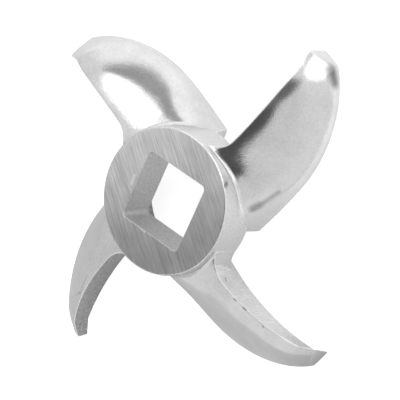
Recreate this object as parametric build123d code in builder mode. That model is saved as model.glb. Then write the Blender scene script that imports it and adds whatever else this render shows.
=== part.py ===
from build123d import *
from math import atan2, cos, degrees, radians, sin, tan
import os

os.makedirs("parts", exist_ok=True)

# ---------------------------------------------------------------- hub, mm
hub_face_radius = 14.0
hub_draft = 2.5
hub_edge_round = 0.3
knife_height = 12.9
hub_back_height = 4.8
bore_side = 14.1
bore_corner_round = 0.9
bore_turn = 62.0

# ---------------------------------------------------------------- arms, mm
arm_count = 4
tip_radius = 39.5
tip_draft = 8.0
arm_inner_radius = 11.9
heel_angle = -24.0
root_blend_radius = 4.6

# The back wall of an arm is a leaning cone about a swing centre beside the arm,
# measured back from the point where +X leaves the hub. Its foot circle dips below the X axis.
swing_back = 30.0
swing_dip = 2.15
back_wall_radius = 48.05
back_wall_lean = 12.0
toe_start_angle = -25.6
toe_end_angle = -22.4
toe_end_radius = 47.1

# Cross sections of an arm stand on rays from the swing centre, heel first and tip last.
ray_angle = [-64.0, -60.0, -56.0, -51.0, -46.0, -41.0, -36.0, -31.0, -26.0, -21.0]
# Distance of the cutting edge from the swing centre on each ray.
edge_reach = [60.3, 59.2, 58.6, 58.1, 57.7, 56.95, 55.75, 54.1, 51.85, 48.9]
# Height of the ridge at the back wall on each ray.
ridge_height = [11.6, 11.5, 11.3, 11.0, 10.8, 10.4, 9.6, 8.3, 6.1, 2.9]
# Slope of the face where it meets the ridge, degrees.
ridge_slope = [3.0, 3.0, 5.0, 9.0, 12.0, 15.0, 18.0, 20.0, 20.0, 20.0]
# Crown of the face, measured in from the back wall and down from the ridge.
crown_in = [2.4, 2.4, 2.4, 2.4, 2.4, 2.4, 2.4, 2.4, 1.6, 0.4]
crown_drop = [0.25, 0.3, 0.55, 0.85, 1.0, 1.1, 1.15, 1.15, 0.8, 0.18]
# Shoulder of the face, measured in from the cutting edge and up from the plate.
shoulder_in = [1.7, 1.8, 1.9, 1.9, 1.9, 1.9, 1.8, 1.6, 1.3, 0.55]
shoulder_height = [8.8, 8.0, 6.9, 5.0, 4.2, 4.0, 3.8, 3.7, 3.3, 2.35]
nose_height = 1.5
nose_slope = [82.0, 82.0, 80.0, 76.0, 70.0, 66.0, 63.0, 61.0, 60.0, 60.0]

# Run-outs that keep the cutting bodies clear of the finished surfaces.
ridge_run_out = 0.8
edge_run_out = 1.2
clear = 2.0
far_reach = 41.6
heel_margin = 12.0

swing_x = hub_face_radius - swing_back
swing_y = back_wall_radius - swing_dip
lean_ratio = tan(radians(back_wall_lean))


def on_ray(angle, reach):
    return (swing_x + reach * cos(radians(angle)), swing_y + reach * sin(radians(angle)))


heel_side = Vector(-sin(radians(heel_angle)), cos(radians(heel_angle)), 0)
web_height = knife_height - hub_back_height
hub_back_radius = hub_face_radius + web_height * tan(radians(hub_draft))
edge_points = [on_ray(angle, reach) for angle, reach in zip(ray_angle, edge_reach)]

# ---------------------------------------------------------------- plan outline of one arm
with BuildSketch() as arm_plan:
    with BuildLine():
        Spline(*edge_points)
        Polyline(
            edge_points[-1],
            on_ray(ray_angle[-1], far_reach + clear),
            on_ray(ray_angle[1], far_reach + clear),
            (0, 0),
            edge_points[0],
        )
    make_face()

# ---------------------------------------------------------------- relief behind one arm
toe_start = on_ray(toe_start_angle, back_wall_radius)
toe_end = on_ray(toe_end_angle, toe_end_radius)
toe_run = Vector(toe_end[0] - toe_start[0], toe_end[1] - toe_start[1], 0).normalized()
toe_side = Vector(-toe_run.Y, toe_run.X, 0)
toe_normal = toe_side * cos(radians(back_wall_lean)) - Vector(0, 0, 1) * sin(radians(back_wall_lean))
relief_height = knife_height + 2 * clear

with BuildPart() as relief:
    with Locations((swing_x, swing_y, -clear)):
        Cone(
            back_wall_radius + clear * lean_ratio,
            back_wall_radius + clear * lean_ratio - relief_height * lean_ratio,
            relief_height,
            align=(Align.CENTER, Align.CENTER, Align.MIN),
        )
    split(bisect_by=Plane(origin=(toe_start[0], toe_start[1], 0), z_dir=toe_normal), keep=Keep.TOP)

# ---------------------------------------------------------------- scooping body above one arm
sections = []
for index, angle in enumerate(ray_angle):
    ridge_reach = back_wall_radius - ridge_height[index] * lean_ratio
    start = (ridge_reach - ridge_run_out, ridge_height[index] + ridge_run_out * tan(radians(ridge_slope[index])))
    crown = (ridge_reach + crown_in[index], ridge_height[index] - crown_drop[index])
    shoulder = (edge_reach[index] - shoulder_in[index], shoulder_height[index])
    nose = (edge_reach[index], nose_height)
    finish = (nose[0] + edge_run_out, nose[1] - edge_run_out * tan(radians(nose_slope[index])))
    top = knife_height + clear
    ray_plane = Plane(
        origin=(swing_x, swing_y, 0),
        x_dir=(cos(radians(angle)), sin(radians(angle)), 0),
        z_dir=(sin(radians(angle)), -cos(radians(angle)), 0),
    )
    with BuildSketch(ray_plane) as section:
        with BuildLine():
            Line((far_reach, start[1]), start)
            Spline(
                start,
                crown,
                shoulder,
                nose,
                tangents=(
                    (cos(radians(ridge_slope[index])), -sin(radians(ridge_slope[index]))),
                    (cos(radians(nose_slope[index])), -sin(radians(nose_slope[index]))),
                ),
            )
            Line(nose, finish)
            Polyline(finish, (finish[0], top), (far_reach, top), (far_reach, start[1]))
        make_face()
    sections.append(section.sketch)

with BuildPart() as scoop:
    for section in sections:
        add(section)
    loft()

# ---------------------------------------------------------------- envelope of the arm tips
with BuildPart() as envelope:
    Cone(
        tip_radius,
        tip_radius - knife_height * tan(radians(tip_draft)),
        knife_height,
        align=(Align.CENTER, Align.CENTER, Align.MIN),
    )

# ---------------------------------------------------------------- foot of one arm, below the hub
with BuildPart() as arm_foot:
    with BuildSketch():
        add(arm_plan.sketch)
        Circle(arm_inner_radius, mode=Mode.SUBTRACT)
    extrude(amount=hub_back_height)
    split(bisect_by=Plane(origin=(0, 0, 0), z_dir=heel_side), keep=Keep.TOP)
    add(relief.part, mode=Mode.SUBTRACT)
    add(envelope.part, mode=Mode.INTERSECT)

# ---------------------------------------------------------------- full height of one arm, beside the hub
with BuildPart() as arm_web:
    with BuildSketch(Plane.XY.offset(hub_back_height)):
        add(arm_plan.sketch)
    extrude(amount=web_height)
    add(relief.part, mode=Mode.SUBTRACT)
    add(envelope.part, mode=Mode.INTERSECT)

# ---------------------------------------------------------------- hub, before its bore
with BuildPart() as hub:
    with BuildSketch(Plane.XY.offset(hub_back_height)):
        Circle(hub_back_radius)
    extrude(amount=web_height, taper=hub_draft)

# ---------------------------------------------------------------- ring that rounds the hub edge
rim_start = (hub_face_radius - hub_edge_round, knife_height)
rim_end = (hub_face_radius, knife_height - hub_edge_round)
with BuildPart() as hub_edge_cut:
    with BuildSketch(Plane.XZ):
        with BuildLine():
            RadiusArc(rim_start, rim_end, hub_edge_round)
            Polyline(
                rim_end,
                (hub_face_radius + clear, rim_end[1]),
                (hub_face_radius + clear, knife_height + clear),
                (rim_start[0], knife_height + clear),
                rim_start,
            )
        make_face()
    revolve(axis=Axis.Z)

# ---------------------------------------------------------------- knife
def is_root(edge):
    # Upright edge in the corner between the hub wall and an arm.
    middle = edge @ 0.5
    upright = abs((edge @ 0).Z - (edge @ 1).Z) > 0.9 * web_height
    return upright and Vector(middle.X, middle.Y, 0).length < hub_back_radius + clear


def is_behind_arm(edge):
    # On the back wall side of its arm rather than on the cutting side.
    middle = edge @ 0.5
    turn = (degrees(atan2(middle.Y, middle.X)) - heel_angle) % (360 / arm_count)
    return min(turn, 360 / arm_count - turn) > heel_margin


with BuildPart() as knife:
    add(hub.part)
    with PolarLocations(0, arm_count):
        add(arm_web.part)

    # Upright inner corners between the hub wall and the arms.
    fillet([edge for edge in knife.edges() if is_root(edge) and is_behind_arm(edge)], root_blend_radius)

    # Feet that carry the cutting edges below the hub.
    with PolarLocations(0, arm_count):
        add(arm_foot.part)

    # Ground front faces of the arms, which stop at the hub.
    with PolarLocations(0, arm_count):
        add(scoop.part, mode=Mode.SUBTRACT)
    add(hub.part)

    # Square drive bore.
    with BuildSketch():
        RectangleRounded(bore_side, bore_side, bore_corner_round, rotation=bore_turn)
    extrude(amount=knife_height, mode=Mode.SUBTRACT)

    # Rounded edge of the ground hub face.
    add(hub_edge_cut.part, mode=Mode.SUBTRACT)

knife.part.label = "knife"
export_step(knife.part, "parts/knife.step")
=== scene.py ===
from math import cos, radians, tan

import bmesh
import bpy
import numpy as np
from mathutils import Matrix, Vector


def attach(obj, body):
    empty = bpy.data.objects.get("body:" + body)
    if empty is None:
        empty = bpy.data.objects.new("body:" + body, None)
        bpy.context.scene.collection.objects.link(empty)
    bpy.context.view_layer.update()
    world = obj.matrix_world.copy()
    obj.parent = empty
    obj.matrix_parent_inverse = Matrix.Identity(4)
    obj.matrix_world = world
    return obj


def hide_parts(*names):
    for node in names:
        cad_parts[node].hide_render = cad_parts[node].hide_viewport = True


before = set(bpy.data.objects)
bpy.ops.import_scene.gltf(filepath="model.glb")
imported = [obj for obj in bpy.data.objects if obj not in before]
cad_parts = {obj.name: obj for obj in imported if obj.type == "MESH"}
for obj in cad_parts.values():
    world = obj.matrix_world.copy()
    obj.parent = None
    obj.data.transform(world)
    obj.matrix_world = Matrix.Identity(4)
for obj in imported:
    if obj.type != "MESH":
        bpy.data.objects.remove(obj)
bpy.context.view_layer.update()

MM = 0.001

# ---------------------------------------------------------------- camera
IMAGE_SIDE = 400
FOCAL_PIXELS = 2567
SENSOR_WIDTH = 36.0
CLIP_START = 0.01
CAMERA_PLACE = Vector((276.1, 35.7, 403.4)) * MM
CAMERA_RIGHT = Vector((0.825, 0.0, -0.5655))
CAMERA_BACK = Vector((0.564, 0.0739, 0.8225))

BACK = CAMERA_BACK.normalized()
UP = BACK.cross(CAMERA_RIGHT).normalized()
RIGHT = UP.cross(BACK)


def from_camera(x, y, z):
    """Direction given as right, up and towards the camera, in the knife's frame."""
    return (RIGHT * x + UP * y + BACK * z).normalized()


def add_camera():
    data = bpy.data.cameras.new("photo_camera")
    data.sensor_width = SENSOR_WIDTH
    data.lens = SENSOR_WIDTH * FOCAL_PIXELS / IMAGE_SIDE
    data.clip_start = CLIP_START
    camera = bpy.data.objects.new("photo_camera", data)
    bpy.context.scene.collection.objects.link(camera)
    camera.matrix_world = Matrix(
        (
            (RIGHT.x, UP.x, BACK.x, CAMERA_PLACE.x),
            (RIGHT.y, UP.y, BACK.y, CAMERA_PLACE.y),
            (RIGHT.z, UP.z, BACK.z, CAMERA_PLACE.z),
            (0, 0, 0, 1),
        )
    )
    bpy.context.scene.camera = camera


# ---------------------------------------------------------------- node helpers
# Stands in a list of scratches for lines that run up and down.
UPRIGHT = "upright"
QUARTER_TURN = 90
WHITE = (1, 1, 1, 1)


class Tree:
    """Short names for the shader nodes used here. A value may be a number or a node's output."""

    def __init__(self, node_tree):
        self.nodes = node_tree.nodes
        self.links = node_tree.links

    def node(self, kind, **settings):
        node = self.nodes.new(kind)
        for name, value in settings.items():
            setattr(node, name, value)
        return node

    def put(self, value, socket):
        if hasattr(value, "links"):
            self.links.new(value, socket)
        else:
            socket.default_value = value

    def math(self, operation, a, b=0.0, c=0.0, clamp=False):
        node = self.node("ShaderNodeMath", operation=operation, use_clamp=clamp)
        for value, socket in zip((a, b, c), node.inputs):
            self.put(value, socket)
        return node.outputs[0]

    def vector(self, operation, a, b):
        node = self.node("ShaderNodeVectorMath", operation=operation)
        self.put(a, node.inputs[0])
        self.put(b, node.inputs[1])
        return node

    def scaled(self, vector, factor):
        node = self.node("ShaderNodeVectorMath", operation="SCALE")
        self.put(vector, node.inputs[0])
        self.put(factor, node.inputs["Scale"])
        return node.outputs[0]

    def dot(self, vector, axis):
        return self.vector("DOT_PRODUCT", vector, axis).outputs["Value"]

    def step(self, value, low, high, out_low=0.0, out_high=1.0):
        node = self.node("ShaderNodeMapRange", interpolation_type="SMOOTHSTEP")
        for item, socket in zip((value, low, high, out_low, out_high), node.inputs):
            self.put(item, socket)
        return node.outputs[0]

    def mix(self, factor, a, b):
        """a where factor is 0, b where it is 1."""
        node = self.node("ShaderNodeMix", data_type="FLOAT")
        factor_socket, _, a_socket, b_socket = node.inputs[:4]
        for value, socket in ((factor, factor_socket), (a, a_socket), (b, b_socket)):
            self.put(value, socket)
        return node.outputs[0]

    def noise(self, vector, scale, detail, roughness):
        node = self.node("ShaderNodeTexNoise")
        self.put(vector, node.inputs["Vector"])
        node.inputs["Scale"].default_value = scale
        node.inputs["Detail"].default_value = detail
        node.inputs["Roughness"].default_value = roughness
        return node.outputs[0]

    def drawn_out(self, vector, along, stretch):
        """Coordinates squeezed along a direction in plan, given in degrees, or along the height."""
        if along == UPRIGHT:
            return self.vector("MULTIPLY", vector, (1, 1, 1 / stretch)).outputs[0]
        node = self.node("ShaderNodeMapping")
        self.put(vector, node.inputs["Vector"])
        node.inputs["Rotation"].default_value = (0, 0, radians(QUARTER_TURN - along))
        return self.vector("MULTIPLY", node.outputs[0], (1, 1 / stretch, 1)).outputs[0]

    def away_from(self, place, start, end):
        """Distance from the straight line between two points."""
        start, end = Vector(start), Vector(end)
        run = end - start
        offset = self.vector("SUBTRACT", place, tuple(start)).outputs[0]
        share = self.math(
            "MULTIPLY", self.dot(offset, tuple(run)), 1 / run.length_squared, clamp=True
        )
        nearest = self.scaled(tuple(run), share)
        return self.vector("DISTANCE", offset, nearest).outputs["Value"]


# ---------------------------------------------------------------- studio
BASE_LEVEL = 0.95
# Each patch: direction from the knife (right, up, towards the camera), the angle to which it is
# full, the angle at which it ends, and its level. Later ones lie over earlier ones.
PATCHES = [
    # pale glow from the top of the picture
    ((0.1, 0.98, 0.0), 20, 50, 1.3),
    # lamps above the camera, to its left and to its right
    ((-0.43, 0.66, 0.61), 14, 21, 1.9),
    ((0.45, 0.42, 0.79), 16, 26, 1.9),
    # shade on the left, and farther behind
    ((-0.88, -0.34, 0.34), 4, 20, 0.45),
    ((-0.93, 0.05, -0.35), 18, 38, 0.76),
    # dim zone below the camera, and a dark screen from its lower left to its middle
    ((-0.1, -0.5, 0.86), 12, 30, 0.82),
    ((-0.6, -0.38, 0.7), 12, 20, 0.1),
    ((-0.42, -0.36, 0.83), 11, 19, 0.1),
    ((-0.2, 0.0, 0.98), 8, 19, 0.18),
]
# A dark strip runs beside a plane, given by its normal. Its soft side and its sharp side are sines
# of the angle from that plane, each from start to end. It shows only round its middle, full to the
# first angle and gone at the second.
STRIP_NORMAL = (-0.5, -0.8, 0.33)
STRIP_SOFT = (-0.58, -0.45)
STRIP_SHARP = (-0.31, -0.25)
STRIP_MIDDLE = (-0.38, 0.81, 0.43)
STRIP_REACH = (12, 18)
STRIP_LEVEL = 0.42

# From the floor's middle to each of its sides, and its depth below the knife.
FLOOR_REACH = 1.2
FLOOR_DROP = 0.05 * MM
FLOOR_COLOR = (0.8, 0.8, 0.8, 1)
FLOOR_ROUGHNESS = 0.8
# What the floor shines of itself: to the camera, and in reflections in front of the knife and
# behind it, with the places of both along a direction in plan.
FLOOR_WHITE = 0.75
FLOOR_MIRRORED = (0.02, 0.55)
FLOOR_FRONT = -0.03
FLOOR_BACK = 0.035
FLOOR_AWAY = (0.6, 0.8, 0.0)


def near_direction(tree, direction, axis, full, outer):
    """1 within the full angle of an axis, 0 beyond the outer one."""
    along = tree.dot(direction, tuple(from_camera(*axis)))
    return tree.step(along, cos(radians(outer)), cos(radians(full)))


def studio_level(tree, direction):
    level = BASE_LEVEL
    for axis, full, outer, patch_level in PATCHES:
        inside = near_direction(tree, direction, axis, full, outer)
        level = tree.mix(inside, level, patch_level)
    side = tree.dot(direction, tuple(from_camera(*STRIP_NORMAL)))
    across = tree.math(
        "MULTIPLY", tree.step(side, *STRIP_SOFT), tree.step(side, *STRIP_SHARP, 1.0, 0.0)
    )
    strip = tree.math(
        "MULTIPLY", across, near_direction(tree, direction, STRIP_MIDDLE, *STRIP_REACH)
    )
    return tree.mix(strip, level, STRIP_LEVEL)


def add_world():
    world = bpy.data.worlds.new("studio")
    bpy.context.scene.world = world
    world.use_nodes = True
    tree = Tree(world.node_tree)
    tree.nodes.clear()
    direction = tree.node("ShaderNodeTexCoord").outputs["Generated"]
    soft = tree.node("ShaderNodeBackground")
    tree.put(studio_level(tree, direction), soft.inputs["Color"])
    white = tree.node("ShaderNodeBackground")
    tree.put(WHITE, white.inputs["Color"])
    mix = tree.node("ShaderNodeMixShader")
    tree.put(tree.node("ShaderNodeLightPath").outputs["Is Camera Ray"], mix.inputs["Fac"])
    tree.links.new(soft.outputs[0], mix.inputs[1])
    tree.links.new(white.outputs[0], mix.inputs[2])
    tree.links.new(mix.outputs[0], tree.node("ShaderNodeOutputWorld").inputs[0])


def floor_material():
    material = bpy.data.materials.new("floor")
    material.use_nodes = True
    tree = Tree(material.node_tree)
    shader = tree.nodes["Principled BSDF"]
    shader.inputs["Base Color"].default_value = FLOOR_COLOR
    shader.inputs["Roughness"].default_value = FLOOR_ROUGHNESS
    shader.inputs["Emission Color"].default_value = WHITE
    path = tree.node("ShaderNodeLightPath")
    place = tree.node("ShaderNodeTexCoord").outputs["Object"]
    mirrored = tree.step(tree.dot(place, FLOOR_AWAY), FLOOR_FRONT, FLOOR_BACK, *FLOOR_MIRRORED)
    glow = tree.math("MULTIPLY", path.outputs["Is Glossy Ray"], mirrored)
    for seen in ("Is Camera Ray", "Is Transmission Ray"):
        glow = tree.math("MULTIPLY_ADD", path.outputs[seen], FLOOR_WHITE, glow)
    tree.put(glow, shader.inputs["Emission Strength"])
    return material


def add_floor():
    mesh = bpy.data.meshes.new("floor")
    signs = ((-1, -1), (1, -1), (1, 1), (-1, 1))
    corners = [(FLOOR_REACH * x, FLOOR_REACH * y, 0) for x, y in signs]
    mesh.from_pydata(corners, [], [(0, 1, 2, 3)])
    mesh.materials.append(floor_material())
    floor = bpy.data.objects.new("floor", mesh)
    floor.location.z = -FLOOR_DROP
    bpy.context.scene.collection.objects.link(floor)


# ---------------------------------------------------------------- knife, as in the CAD model, mm
KNIFE_HEIGHT = 12.9
HUB_RADIUS = 14.0
HUB_DRAFT = 2.5
BORE_SIDE = 14.1
BORE_TURN = 62.0
SWING_X = -16.0
SWING_Y = 45.9
WALL_RADIUS = 48.05
WALL_LEAN = 12.0
ARM_COUNT = 4

# ---------------------------------------------------------------- marks on the steel, some with painted shade and highlights
# Each mark: start, end, radius, depth and tone. Lengths in mm; a depth below 0 is a rise, and a
# tone of 1 leaves the colour as it is.
FACE_MARKS = [
    # smudge on the right arm, in two parts
    ((15.9, -1.1, 6.7), (16.9, -0.4, 5.9), 1.35, 0.05, 0.5),
    ((17.65, 0.1, 5.4), (20.0, 2.0, 4.2), 0.85, 0.03, 0.66),
    # rise at the right arm's root
    ((11.8, 2.2, 9.7), (12.4, -2.5, 8.4), 5.2, -0.42, 1.0),
    # painted shade over the lower arm's tip, strongest at its end, and a painted dark reflection in
    # a slight dent on the right arm's tip
    ((24.0, -34.0, 1.0), (31.0, -30.5, 1.0), 10.0, 0.0, 0.62),
    ((30.1, 24.8, 2.1), (30.7, 22.4, 1.7), 1.9, 0.05, 0.32),
    # shallow crease on the left arm, with painted shade along it
    ((-27.0, -20.6, 5.8), (-22.4, -18.9, 9.0), 0.45, 0.03, 0.7),
    ((-22.4, -18.9, 9.0), (-20.5, -15.6, 9.5), 0.45, 0.03, 0.8),
    # broad hollow in the upper left arm's face
    ((-15.0, 17.0, 9.4), (-14.9, 17.0, 9.4), 8.0, 0.34, 1.0),
]
# Dark nicks along the lower arm's ridge.
RIDGE_NICKS = [
    ((10.9, -14.2, 8.3), (11.3, -14.6, 8.6), 0.35, 0.03, 0.4),
    ((14.3, -17.6, 10.4), (14.7, -17.9, 10.4), 0.3, 0.03, 0.35),
    ((16.2, -19.1, 10.2), (16.7, -19.6, 10.1), 0.35, 0.03, 0.4),
    ((19.6, -22.5, 9.0), (19.8, -22.7, 8.9), 0.25, 0.03, 0.4),
]
HUB_MARKS = [
    # broad shade, deepest towards -Y
    ((-14.0, -13.0, 12.9), (14.0, -9.0, 12.9), 24.0, 0.0, 0.55),
    # burr beside the bore, a slight rise with a painted highlight, and a painted highlight line at
    # the bore's edge
    ((-7.3, 3.0, 12.9), (-6.6, 4.6, 12.9), 0.5, -0.02, 1.3),
    ((-5.5, -5.3, 12.9), (-4.3, -6.0, 12.9), 0.25, 0.0, 1.4),
]
# Shade near the tip of the lower arm's back wall.
LOWER_WALL_MARKS = [((30.0, -29.5, 2.0), (27.0, -28.5, 3.0), 11.0, 0.0, 0.6)]
# Nick in the hub's side, under its top edge.
HUB_WALL_NICKS = [((13.6, 3.5, 12.4), (13.7, 3.9, 11.6), 0.8, 0.1, 0.4)]

# ---------------------------------------------------------------- steel
SCRATCH_DETAIL = 3.0
SCRATCH_ROUGHNESS = 0.65
WAVE_DETAIL = 1.5
WAVE_ROUGHNESS = 0.5
# Noise values at which a layer's darkest and lightest tone are reached.
TONE_RANGE = (0.3, 0.7)
# Edges get a painted highlight in their colour. Cosines between the rounded normal and the face's
# own at which that is full, and at which it ends.
EDGE_COSINES = (0.9, 0.99)
EDGE_PAINTED_HIGHLIGHT = 1.45
EDGE_SAMPLES = 6
# Radii to which edges look rounded, in mm.
SHARP_EDGE = 0.2
WORN_EDGE = 0.3
SOFT_EDGE = 0.4
# The small curve upwards where the polished faces meet the hub, in mm.
FOOT_WIDTH = 0.8
FOOT_RISE = 0.25

# Scratches: direction in plan in degrees, stretch, lines per mm, depth in mm, tone.
HUB_SCRATCHES = [(-69, 60, 4.0, 0.008, 0.15), (-66, 25, 8.0, 0.005, 0.13)]
BORE_SCRATCHES = [(-28, 3, 2.0, 0.01, 0.06)]
POLISH_SCRATCHES = [(25, 14, 6.0, 0.0018, 0.04), (-60, 10, 4.0, 0.0014, 0.04)]
GROUND_SCRATCHES = [(UPRIGHT, 14, 2.2, 0.006, 0.09), (UPRIGHT, 6, 5.0, 0.003, 0.07)]
COARSE_SCRATCHES = [(UPRIGHT, 14, 3.0, 0.009, 0.2), (UPRIGHT, 10, 6.0, 0.005, 0.16)]
RIM_SCRATCHES = [(0, 4, 3.0, 0.004, 0.04)]
UNDER_SCRATCHES = [(30, 12, 4.0, 0.01, 0.12)]
# Waves: size in mm, depth in mm, tone.
HUB_WAVES = [(6.0, 0.02, 0.05)]
BORE_WAVES = [(0.4, 0.01, 0.08)]
POLISH_WAVES = [(3.5, 0.02, 0.03), (0.3, 0.011, 0.02)]
WALL_WAVES = [(0.35, 0.004, 0.06)]
RIM_WAVES = [(0.4, 0.004, 0.05)]
COARSE_WALL_WAVES = [(0.35, 0.006, 0.12)]


class Relief:
    """Height in mm and tone of a steel surface, built up layer by layer."""

    def __init__(self, tree, place):
        self.tree = tree
        self.place = place
        self.height = 0.0
        self.tint = 1.0

    def raise_by(self, shape, depth):
        self.height = self.tree.math("MULTIPLY_ADD", shape, depth, self.height)

    def tint_by(self, tone):
        self.tint = self.tree.math("MULTIPLY", self.tint, tone)

    def noise_layer(self, noise, depth, tone):
        self.raise_by(noise, depth)
        self.tint_by(self.tree.step(noise, *TONE_RANGE, 1 - tone, 1 + tone))

    def scratch(self, along, stretch, per_mm, depth, tone):
        drawn = self.tree.drawn_out(self.place, along, stretch)
        lines = self.tree.noise(drawn, per_mm, SCRATCH_DETAIL, SCRATCH_ROUGHNESS)
        self.noise_layer(lines, depth, tone)

    def wave(self, size, depth, tone):
        wave = self.tree.noise(self.place, 1 / size, WAVE_DETAIL, WAVE_ROUGHNESS)
        self.noise_layer(wave, depth, tone)

    def mark(self, start, end, radius, depth, tone):
        away = self.tree.away_from(self.place, start, end)
        inside = self.tree.step(away, 0.0, radius, 1.0, 0.0)
        self.raise_by(inside, -depth)
        self.tint_by(self.tree.mix(inside, 1.0, tone))

    def hub_foot(self):
        """The small curve upwards where a surface meets the hub."""
        in_plan = self.tree.vector("MULTIPLY", self.place, (1, 1, 0)).outputs[0]
        reach = self.tree.node("ShaderNodeVectorMath", operation="LENGTH")
        self.tree.put(in_plan, reach.inputs[0])
        near = self.tree.step(
            reach.outputs["Value"], HUB_RADIUS, HUB_RADIUS + FOOT_WIDTH, 1.0, 0.0
        )
        self.raise_by(near, FOOT_RISE)


def steel(name, grey, roughness, scratches, waves=(), marks=(), edge=SHARP_EDGE, foot=False):
    """Bare steel with scratches, waves and marks, edges rounded to a radius in mm, painted
    highlight on them.
    """
    material = bpy.data.materials.new(name)
    material.use_nodes = True
    tree = Tree(material.node_tree)
    shader = tree.nodes["Principled BSDF"]
    shader.inputs["Metallic"].default_value = 1
    shader.inputs["Roughness"].default_value = roughness
    relief = Relief(tree, tree.scaled(tree.node("ShaderNodeTexCoord").outputs["Object"], 1 / MM))
    for layer in scratches:
        relief.scratch(*layer)
    for layer in waves:
        relief.wave(*layer)
    for layer in marks:
        relief.mark(*layer)
    if foot:
        relief.hub_foot()
    rounded = tree.node("ShaderNodeBevel", samples=EDGE_SAMPLES)
    rounded.inputs["Radius"].default_value = edge * MM
    bump = tree.node("ShaderNodeBump")
    bump.inputs["Distance"].default_value = MM
    tree.put(relief.height, bump.inputs["Height"])
    tree.put(rounded.outputs[0], bump.inputs["Normal"])
    tree.put(bump.outputs[0], shader.inputs["Normal"])
    # Painted highlight: base colour lighter where the rounded normal turns from the face's own.
    own_normal = tree.node("ShaderNodeNewGeometry").outputs["Normal"]
    agreement = tree.dot(rounded.outputs[0], own_normal)
    relief.tint_by(tree.step(agreement, *EDGE_COSINES, EDGE_PAINTED_HIGHLIGHT, 1.0))
    tree.put(tree.scaled((grey, grey, grey), relief.tint), shader.inputs["Base Color"])
    return material


def hub_face_steel():
    return steel(
        "hub_face",
        grey=0.68,
        roughness=0.33,
        scratches=HUB_SCRATCHES,
        waves=HUB_WAVES,
        marks=HUB_MARKS,
    )


def bore_steel():
    return steel("bore", grey=0.74, roughness=0.4, scratches=BORE_SCRATCHES, waves=BORE_WAVES)


def scoop_steel():
    return steel(
        "scoop",
        grey=0.65,
        roughness=0.14,
        scratches=POLISH_SCRATCHES,
        waves=POLISH_WAVES,
        marks=FACE_MARKS + RIDGE_NICKS,
        edge=SOFT_EDGE,
        foot=True,
    )


def wall_steel():
    return steel(
        "wall",
        grey=0.8,
        roughness=0.33,
        scratches=GROUND_SCRATCHES,
        waves=WALL_WAVES,
        marks=RIDGE_NICKS + LOWER_WALL_MARKS,
        edge=WORN_EDGE,
    )


def rim_steel():
    return steel(
        "rim",
        grey=0.66,
        roughness=0.3,
        scratches=RIM_SCRATCHES,
        waves=RIM_WAVES,
        marks=HUB_WALL_NICKS,
        edge=SOFT_EDGE,
    )


def under_steel():
    return steel("under", grey=0.62, roughness=0.35, scratches=UNDER_SCRATCHES)


# Coarser ground back wall of one arm; its grey, darker than the other walls', is painted shade.
def coarse_wall_painted_shade_steel():
    return steel(
        "coarse_wall_painted_shade", grey=0.57, roughness=0.36, scratches=COARSE_SCRATCHES, waves=COARSE_WALL_WAVES
    )


# Each zone of the surface and the function that makes its steel.
ZONES = {
    "hub_face": hub_face_steel,
    "bore": bore_steel,
    "scoop": scoop_steel,
    "wall": wall_steel,
    "rim": rim_steel,
    "under": under_steel,
    "coarse_wall_painted_shade": coarse_wall_painted_shade_steel,
}
ZONE_NUMBER = {name: number for number, name in enumerate(ZONES)}

# ---------------------------------------------------------------- zones of the surface, mm
# The arm, counted by quarter turns, whose back wall is coarser ground and darker: painted shade in
# its grey.
PAINTED_SHADE_QUARTER = 2
# How far a face's middle may lie from the surface, the bore or the top that it belongs to.
ON_SURFACE = 0.06
IN_BORE = 0.05
ON_TOP = 0.01
# How far a back wall's faces may lie from its cone, and how well they face the swing centre.
WALL_REACH = 1.4
WALL_FACING = 0.8
# The blend from a back wall to the hub: how far out it reaches, how far behind the wall, and how
# much its faces may tilt.
ROOT_REACH = 21.0
ROOT_BLEND = 6.0
ROOT_TILT = 0.5
# Upward share of a normal at which a face counts as underside, or as top.
FACES_DOWN = -0.5
FACES_UP = 0.9


def turned(x, y, angle):
    return x * np.cos(angle) - y * np.sin(angle), x * np.sin(angle) + y * np.cos(angle)


def zones_of(places, normals):
    """Zone number of each face from its middle and normal, in mm."""
    x, y, z = places.T
    reach = np.hypot(x, y)
    zone = np.full(len(places), ZONE_NUMBER["scoop"])
    wall = WALL_RADIUS - z * tan(radians(WALL_LEAN))
    upright = np.abs(normals[:, 2]) < ROOT_TILT
    for quarter in range(ARM_COUNT):
        back_turn = -quarter * 2 * np.pi / ARM_COUNT
        arm_x, arm_y = turned(x, y, back_turn)
        normal_x, normal_y = turned(normals[:, 0], normals[:, 1], back_turn)
        swing = np.hypot(arm_x - SWING_X, arm_y - SWING_Y)
        facing = (normal_x * (SWING_X - arm_x) + normal_y * (SWING_Y - arm_y)) / swing
        on_wall = (np.abs(swing - wall) < WALL_REACH) & (facing > WALL_FACING) & (arm_x > 0)
        at_root = (reach < ROOT_REACH) & upright & (arm_y > 0) & (arm_x > 0)
        on_blend = at_root & (swing > wall + ON_SURFACE) & (swing < wall + ROOT_BLEND)
        kind = "coarse_wall_painted_shade" if quarter == PAINTED_SHADE_QUARTER else "wall"
        zone[on_wall | on_blend] = ZONE_NUMBER[kind]
    hub_wall = HUB_RADIUS + (KNIFE_HEIGHT - z) * tan(radians(HUB_DRAFT))
    zone[np.abs(reach - hub_wall) < ON_SURFACE] = ZONE_NUMBER["rim"]
    zone[normals[:, 2] < FACES_DOWN] = ZONE_NUMBER["under"]
    u, v = turned(x, y, -radians(BORE_TURN))
    half_bore = BORE_SIDE / 2 + IN_BORE
    zone[(np.abs(u) < half_bore) & (np.abs(v) < half_bore)] = ZONE_NUMBER["bore"]
    on_top = (z > KNIFE_HEIGHT - ON_TOP) & (normals[:, 2] > FACES_UP)
    zone[on_top] = ZONE_NUMBER["hub_face"]
    return zone


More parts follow.
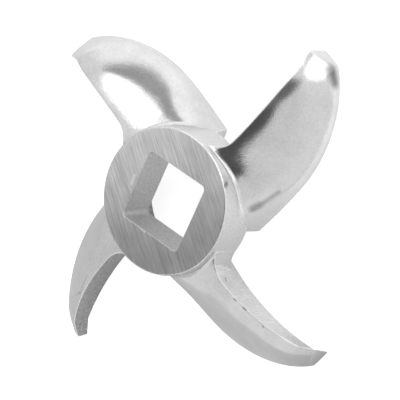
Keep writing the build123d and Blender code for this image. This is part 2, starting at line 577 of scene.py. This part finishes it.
# ---------------------------------------------------------------- knife mesh
MESH_STEP = 0.6 * MM
MESH_PASSES = 4
MESH_WELD = 0.0005 * MM
SHORTEST_NORMAL = 1e-9
TRIANGLE = 3
CAD_NORMAL = "cad_normal"


def read_vectors(items, name):
    """One vector of every item in a Blender collection, as rows."""
    values = np.zeros(len(items) * 3, np.float32)
    items.foreach_get(name, values)
    return values.reshape(-1, 3)


def split_long_edges(mesh):
    """Welds the mesh and halves the edges that are longer than the step, pass by pass."""
    shape = bmesh.new()
    shape.from_mesh(mesh)
    bmesh.ops.remove_doubles(shape, verts=shape.verts, dist=MESH_WELD)
    bmesh.ops.triangulate(shape, faces=shape.faces)
    for _ in range(MESH_PASSES):
        long_edges = [edge for edge in shape.edges if edge.calc_length() > MESH_STEP]
        bmesh.ops.subdivide_edges(
            shape, edges=long_edges, cuts=1, use_grid_fill=True, use_single_edge=True
        )
        wide_faces = [face for face in shape.faces if len(face.verts) > TRIANGLE]
        bmesh.ops.triangulate(shape, faces=wide_faces)
    shape.to_mesh(mesh)
    shape.free()


def paint_zones(mesh):
    middles = read_vectors(mesh.polygons, "center") / MM
    zone = zones_of(middles, read_vectors(mesh.polygons, "normal"))
    mesh.materials.clear()
    for make_steel in ZONES.values():
        mesh.materials.append(make_steel())
    mesh.polygons.foreach_set("material_index", zone.astype(np.int32))


def restore_normals(mesh):
    corners = read_vectors(mesh.attributes[CAD_NORMAL].data, "vector")
    lengths = np.linalg.norm(corners, axis=1, keepdims=True)
    corners /= np.maximum(lengths, SHORTEST_NORMAL)
    mesh.polygons.foreach_set("use_smooth", np.ones(len(mesh.polygons), bool))
    mesh.normals_split_custom_set(corners.tolist())
    mesh.attributes.remove(mesh.attributes[CAD_NORMAL])


def fine_knife(node):
    """The CAD node's own surface on a finer mesh, with its normals, sorted into zones."""
    source = node.data
    mesh = source.copy()
    mesh.name = "knife_casting"
    kept = mesh.attributes.new(CAD_NORMAL, "FLOAT_VECTOR", "CORNER")
    kept.data.foreach_set("vector", read_vectors(source.corner_normals, "vector").ravel())
    split_long_edges(mesh)
    paint_zones(mesh)
    restore_normals(mesh)
    knife = bpy.data.objects.new("knife_casting", mesh)
    bpy.context.scene.collection.objects.link(knife)
    return knife


def main():
    bpy.context.scene.view_settings.view_transform = "Standard"
    add_camera()
    add_world()
    add_floor()
    knife = fine_knife(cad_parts["knife"])
    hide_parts("knife")
    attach(knife, "root")


main()
